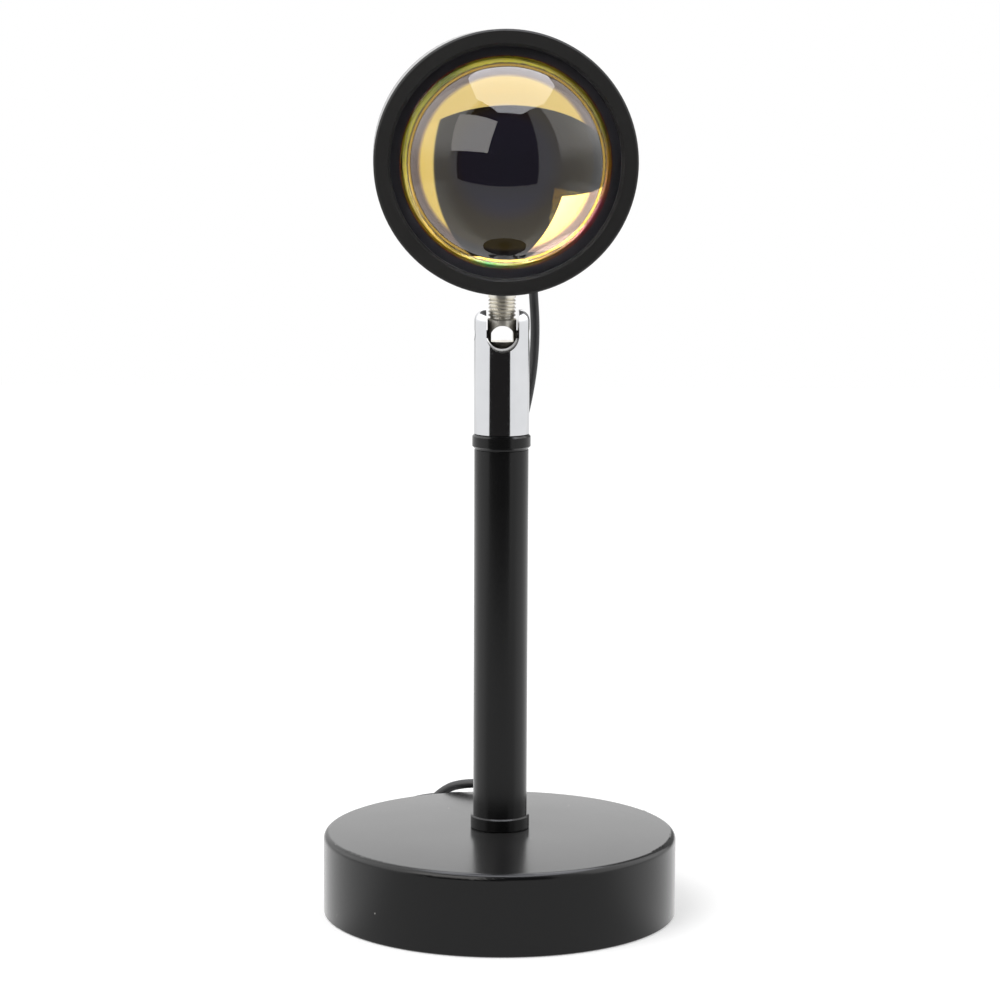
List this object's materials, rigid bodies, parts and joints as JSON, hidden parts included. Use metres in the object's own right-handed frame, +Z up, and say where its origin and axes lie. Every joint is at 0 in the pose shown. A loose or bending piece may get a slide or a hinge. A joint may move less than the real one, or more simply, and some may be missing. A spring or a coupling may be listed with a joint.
{
  "type": "sunset projection lamp",
  "caption": "Table lamp with a heavy round base, a slim pole, a forked swivel joint and a round head whose glass dome throws a sunset-coloured disc of light; USB cord with an in-line switch.",
  "frame": {"origin": "centre of the underside of the foot pad, on the surface that the lamp stands on", "axes": "+Z up along the pole, -Y towards the lens side, +X to the right seen from the lens side"},
  "size_m": [0.1, 0.1638, 0.2488],
  "materials": {
    "satin_black": "satin",
    "black_aluminium": "matte",
    "raw_iron": "matte",
    "zinc_steel": "satin",
    "black_steel": "satin",
    "bright_chrome": "polished",
    "warm_nickel": "polished",
    "plug_nickel": "satin",
    "foam_black": "matte",
    "black_rubber": "matte",
    "cord_black": "satin",
    "tie_black": "matte",
    "black_plastic": "matte",
    "button_grey": "satin",
    "white_plastic": "satin",
    "white_board": "satin",
    "emitter_resin": "gloss",
    "lead_red": "satin",
    "bare_aluminium": "satin",
    "clear_glass": "polished",
    "coated_glass": "polished"
  },
  "bodies": {
    "stand": {"base_shell": "satin_black", "base_weight": "raw_iron", "bottom_plate": "black_plastic", "plate_screws": "zinc_steel", "base_pad": "foam_black", "pole_bolt": "zinc_steel", "bolt_washer": "zinc_steel", "pole_insert": "zinc_steel", "lower_collar": "satin_black", "pole_tube": "satin_black", "upper_collar": "satin_black", "fork": "bright_chrome", "pivot_screws": "bright_chrome", "cord_head_loop": "cord_black", "cord_drop": "cord_black", "cord_coil": "cord_black", "cord_tie": "tie_black", "cord_switch_lead": "cord_black", "switch_lower_case": "black_plastic", "switch_upper_case": "black_plastic", "switch_glands": "black_rubber", "switch_module": "black_plastic", "cord_plug_lead": "cord_black", "plug_body": "black_plastic", "plug_shell": "plug_nickel", "plug_tongue": "white_plastic"},
    "head": {"knuckle": "warm_nickel", "stud_saddle": "black_plastic", "stud_nut": "zinc_steel", "head_barrel": "satin_black", "front_ring": "black_aluminium", "lens": "clear_glass", "color_filter": "coated_glass", "lens_gasket": "black_rubber", "heat_sink": "bare_aluminium", "led_board": "white_board", "led_screws": "zinc_steel", "led_emitter": "emitter_resin", "led_resistors": "black_plastic", "led_leads": "lead_red", "rear_cover": "black_aluminium", "rear_screws": "black_steel", "cord_gland": "black_rubber"},
    "button": {"switch_button": "button_grey"}
  },
  "joints": [
    {"name": "head_tilt", "type": "hinge", "parent": "stand", "child": "head", "pos_m": [0, 0, 0.1647], "axis": [0.9992, 0.041, 0], "range_deg": [-90, 90], "deforming": ["cord_head_loop"]},
    {"name": "switch_press", "type": "slide", "parent": "stand", "child": "button", "axis": [0, 0, -1], "range_m": [0, 0.0012], "stiffness_N_per_m": 500, "springref_m": -0.001}
  ]
}
